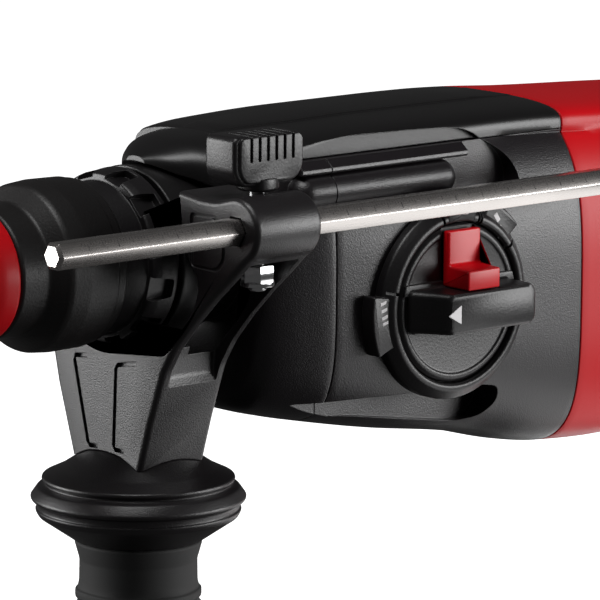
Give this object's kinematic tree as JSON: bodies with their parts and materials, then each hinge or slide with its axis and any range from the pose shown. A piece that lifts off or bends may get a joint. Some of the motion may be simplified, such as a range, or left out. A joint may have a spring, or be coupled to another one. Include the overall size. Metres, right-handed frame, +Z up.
{
  "type": "rotary hammer",
  "caption": "Pistol-grip rotary hammer with a quick-release chuck, mode knob, swinging side handle and depth rod; drive and hammer mechanism inside.",
  "frame": {"origin": "centre of the side handle's flat foot, straight below the clamping neck, on the plane that both handles stand on", "axes": "+X along the spindle towards the pistol grip, -X out of the chuck, +Z up, -Y the side with the mode knob and depth rod"},
  "size_m": [0.365, 0.1028, 0.2162],
  "materials": {
    "housing_black": "textured",
    "cover_black": "smooth satin",
    "housing_red": "satin",
    "soft_rubber": "matte",
    "steel": "ground",
    "chrome": "polished",
    "alloy": "cast",
    "copper": "bright",
    "carbon": "matte",
    "nylon": "satin"
  },
  "bodies": {
    "housing": {"front_housing": "housing_black", "gear_housing": "housing_black", "switch_module": "housing_black", "mode_bezel": "housing_black", "top_cover": "cover_black", "motor_housing": "housing_red", "handle_shell_left": "housing_red", "handle_shell_right": "housing_red", "soft_grip": "soft_rubber", "cord_gland": "soft_rubber", "trigger_spring": "steel", "handle_screw_1": "steel", "handle_screw_2": "steel", "layshaft_bearing_front": "steel", "layshaft_bearing_rear": "steel", "motor_bearing_front": "steel", "motor_bearing_rear": "steel", "spindle_bearing_front": "steel", "stator_core": "steel", "bearing_plate": "alloy", "gearbox_flange": "alloy", "brush_holder_left": "alloy", "brush_holder_right": "alloy", "field_coil_front": "copper", "carbon_brush_left": "carbon", "carbon_brush_right": "carbon"},
    "spindle": {"tool_holder": "steel", "hammer_tube": "steel", "spindle_gear": "steel", "front_cap": "housing_red", "dust_seal": "soft_rubber", "notched_ring": "housing_black", "sleeve_spring": "steel"},
    "chuck_sleeve": {"chuck_sleeve": "soft_rubber"},
    "ball_left": {"locking_ball_left": "steel"},
    "ball_right": {"locking_ball_right": "steel"},
    "beat_piece": {"beat_piece": "steel"},
    "piston": {"piston": "alloy"},
    "striker": {"striker": "steel"},
    "wobble": {"wobble_finger": "steel"},
    "layshaft": {"layshaft": "steel", "wobble_hub": "steel", "layshaft_gear": "steel"},
    "armature": {"armature_shaft": "steel", "rotor_core": "steel", "commutator": "copper", "cooling_fan": "nylon"},
    "mode_knob": {"mode_knob": "housing_black"},
    "knob_button": {"knob_lock_button": "housing_red"},
    "trigger": {"trigger": "housing_black"},
    "lock_on": {"lock_on_button": "housing_black"},
    "side_handle": {"side_bracket": "housing_black", "clamp_band": "housing_black", "clamp_nut": "chrome", "handle_bolt": "steel"},
    "side_grip": {"side_grip_collar": "housing_black", "side_grip": "soft_rubber"},
    "clamp_wing": {"wing_knob": "housing_black", "clamp_screw": "chrome"},
    "depth_rod": {"depth_rod": "steel"}
  },
  "joints": [
    {"name": "armature_spin", "type": "hinge", "parent": "housing", "child": "armature", "pos_m": [0.1762, 0, 0.16695], "axis": [1, 0, 0], "continuous": true},
    {"name": "layshaft_spin", "type": "hinge", "parent": "housing", "child": "layshaft", "pos_m": [0.1042, 0, 0.14613], "axis": [1, 0, 0], "continuous": true},
    {"name": "spindle_spin", "type": "hinge", "parent": "housing", "child": "spindle", "pos_m": [-0.0058, 0, 0.178], "axis": [1, 0, 0], "continuous": true},
    {"name": "sleeve_slide", "type": "slide", "parent": "spindle", "child": "chuck_sleeve", "axis": [1, 0, 0], "range_m": [0, 0.008], "stiffness_N_per_m": 1200, "springref_m": -0.005, "deforming": ["sleeve_spring"]},
    {"name": "ball_left_release", "type": "slide", "parent": "spindle", "child": "ball_left", "axis": [0, -1, 0], "range_m": [0, 0.002]},
    {"name": "ball_right_release", "type": "slide", "parent": "spindle", "child": "ball_right", "axis": [0, 1, 0], "range_m": [0, 0.002]},
    {"name": "beat_slide", "type": "slide", "parent": "spindle", "child": "beat_piece", "axis": [1, 0, 0], "range_m": [-0.004, 0]},
    {"name": "piston_slide", "type": "slide", "parent": "housing", "child": "piston", "axis": [1, 0, 0], "range_m": [-0.01, 0.01]},
    {"name": "wobble_rock", "type": "hinge", "parent": "housing", "child": "wobble", "pos_m": [0.1042, 0, 0.14613], "axis": [0, 1, 0], "range_deg": [-18.5, 18.5]},
    {"name": "striker_slide", "type": "slide", "parent": "housing", "child": "striker", "axis": [1, 0, 0], "range_m": [-0.0115, 0.0015]},
    {"name": "mode_knob_turn", "type": "hinge", "parent": "housing", "child": "mode_knob", "pos_m": [0.0808, -0.0425, 0.1604], "axis": [0, 1, 0], "range_deg": [0, 135]},
    {"name": "knob_button_press", "type": "slide", "parent": "mode_knob", "child": "knob_button", "axis": [0, 1, 0], "range_m": [0, 0.001], "stiffness_N_per_m": 800, "springref_m": -0.001},
    {"name": "trigger_pull", "type": "slide", "parent": "housing", "child": "trigger", "axis": [1, 0, 0], "range_m": [0, 0.0065], "stiffness_N_per_m": 900, "springref_m": -0.004, "deforming": ["trigger_spring"]},
    {"name": "lock_on_press", "type": "slide", "parent": "housing", "child": "lock_on", "axis": [0, 1, 0], "range_m": [0, 0.003], "stiffness_N_per_m": 900, "springref_m": -0.002},
    {"name": "side_handle_swing", "type": "hinge", "parent": "housing", "child": "side_handle", "pos_m": [0.0022, 0, 0.178], "axis": [1, 0, 0], "range_deg": [-180, 8]},
    {"name": "side_grip_turn", "type": "hinge", "parent": "side_handle", "child": "side_grip", "pos_m": [0, 0, 0.078], "axis": [0, 0, 1], "continuous": true},
    {"name": "wing_turn", "type": "hinge", "parent": "side_handle", "child": "clamp_wing", "pos_m": [0.0022, -0.047, 0.203], "axis": [0, 0, 1], "range_deg": [-180, 180]},
    {"name": "rod_slide", "type": "slide", "parent": "side_handle", "child": "depth_rod", "axis": [1, 0, 0], "range_m": [-0.09, 0.05]}
  ],
  "couplings": [
    {"joint": "layshaft_spin", "follows": "armature_spin", "ratio": -0.19512},
    {"joint": "spindle_spin", "follows": "armature_spin", "ratio": 0.053659},
    {"joint": "ball_left_release", "follows": "sleeve_slide", "ratio": 0.25},
    {"joint": "ball_right_release", "follows": "sleeve_slide", "ratio": 0.25},
    {"joint": "wobble_rock", "follows": "piston_slide", "rad_per_m": 31.372}
  ]
}
